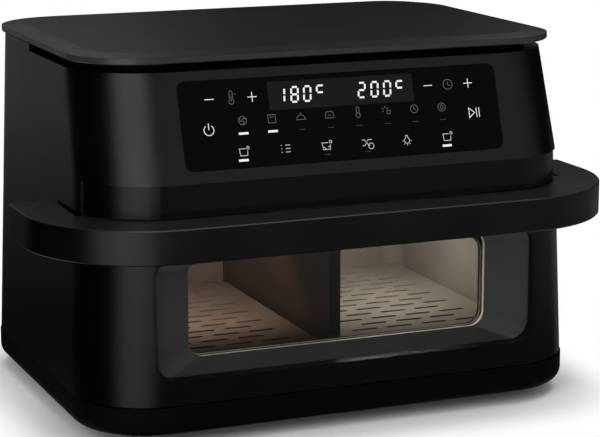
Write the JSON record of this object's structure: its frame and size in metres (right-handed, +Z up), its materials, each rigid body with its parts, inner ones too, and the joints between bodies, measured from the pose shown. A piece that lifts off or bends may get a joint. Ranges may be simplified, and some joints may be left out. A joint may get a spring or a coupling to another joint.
{
  "type": "dual basket air fryer",
  "caption": "Countertop air fryer with one wide window drawer split into two zones, a wrap-round handle, a leaning touch panel and a top cover floating over an air slot.",
  "frame": {"origin": "middle of the footprint over the handle, on the floor under the feet", "axes": "+Z up; the drawer opens towards -Y; +X is the right-hand side for someone facing the front"},
  "size_m": [0.48, 0.346, 0.295],
  "materials": {
    "satin_black": "satin moulded black",
    "gloss_black": "high gloss black",
    "surround_black": "semi-gloss dark grey",
    "panel_glass": "black printed glass",
    "window_glass": "clear oven glass",
    "display": "smoked display window",
    "rubber_black": "matt moulded rubber",
    "silicone": "soft silicone",
    "nonstick": "dark non-stick coating",
    "zinc_steel": "zinc-plated sheet",
    "stainless": "plain stainless sheet",
    "aluminium": "pressed aluminium",
    "motor_grey": "lacquered laminations",
    "ceramic_fibre": "needled fibre mat",
    "circuit_board": "green laminate",
    "moulded_parts": "plain moulded plastic",
    "lamp_glass": "frosted glass",
    "magnet": "nickel plated"
  },
  "bodies": {
    "housing": {"base_tray": "satin_black", "rubber_feet": "rubber_black", "base_screws": "zinc_steel", "housing_shell": "satin_black", "top_cover": "satin_black", "vent_neck": "satin_black", "control_fascia": "satin_black", "control_glass": "panel_glass", "display_module": "display", "control_board": "circuit_board", "band_trim": "satin_black", "gloss_strip": "gloss_black", "chassis_rails": "zinc_steel", "front_frame": "satin_black", "cavity_liner": "stainless", "drawer_runners": "zinc_steel", "insulation_pad": "ceramic_fibre", "heat_shield": "zinc_steel", "heater_guards": "stainless", "heating_elements": "stainless", "motor_brackets": "zinc_steel", "motor_screws": "zinc_steel", "fan_motors": "motor_grey", "temperature_probes": "stainless", "lamp_lens": "lamp_glass", "lamp_holder": "moulded_parts", "board_standoffs": "moulded_parts", "power_board": "circuit_board", "power_components": "moulded_parts", "exhaust_duct": "zinc_steel", "exhaust_grille": "satin_black", "cord_gland": "rubber_black", "drawer_sensor": "moulded_parts"},
    "drawer": {"drawer_front": "satin_black", "drawer_handle": "satin_black", "handle_screws": "zinc_steel", "window_surround": "surround_black", "glass_gasket": "silicone", "outer_glass": "window_glass", "glass_clamp": "zinc_steel", "inner_glass": "window_glass", "inner_glass_clips": "zinc_steel", "cooking_pan": "nonstick", "pan_brackets": "zinc_steel", "drawer_slides": "zinc_steel", "divider_guides": "nonstick", "drawer_magnet": "magnet"},
    "divider": {"zone_divider": "nonstick"},
    "plate_left": {"crisper_plate_left": "nonstick", "plate_bumpers_left": "silicone"},
    "fan_left": {"convection_fan_left": "aluminium", "fan_shaft_left": "stainless", "cooling_fan_left": "aluminium"},
    "plate_right": {"crisper_plate_right": "nonstick", "plate_bumpers_right": "silicone"},
    "fan_right": {"convection_fan_right": "aluminium", "fan_shaft_right": "stainless", "cooling_fan_right": "aluminium"}
  },
  "joints": [
    {"name": "drawer_slide", "type": "slide", "parent": "housing", "child": "drawer", "axis": [0, -1, 0], "range_m": [0, 0.21]},
    {"name": "divider_lift", "type": "slide", "parent": "drawer", "child": "divider", "axis": [0, 0, 1], "range_m": [0, 0.034]},
    {"name": "plate_left_lift", "type": "slide", "parent": "drawer", "child": "plate_left", "axis": [0, 0, 1], "range_m": [0, 0.075]},
    {"name": "plate_right_lift", "type": "slide", "parent": "drawer", "child": "plate_right", "axis": [0, 0, 1], "range_m": [0, 0.075]},
    {"name": "fan_left_spin", "type": "hinge", "parent": "housing", "child": "fan_left", "pos_m": [-0.088, 0.014, 0.2], "axis": [0, 0, 1], "continuous": true},
    {"name": "fan_right_spin", "type": "hinge", "parent": "housing", "child": "fan_right", "pos_m": [0.088, 0.014, 0.2], "axis": [0, 0, 1], "continuous": true}
  ]
}
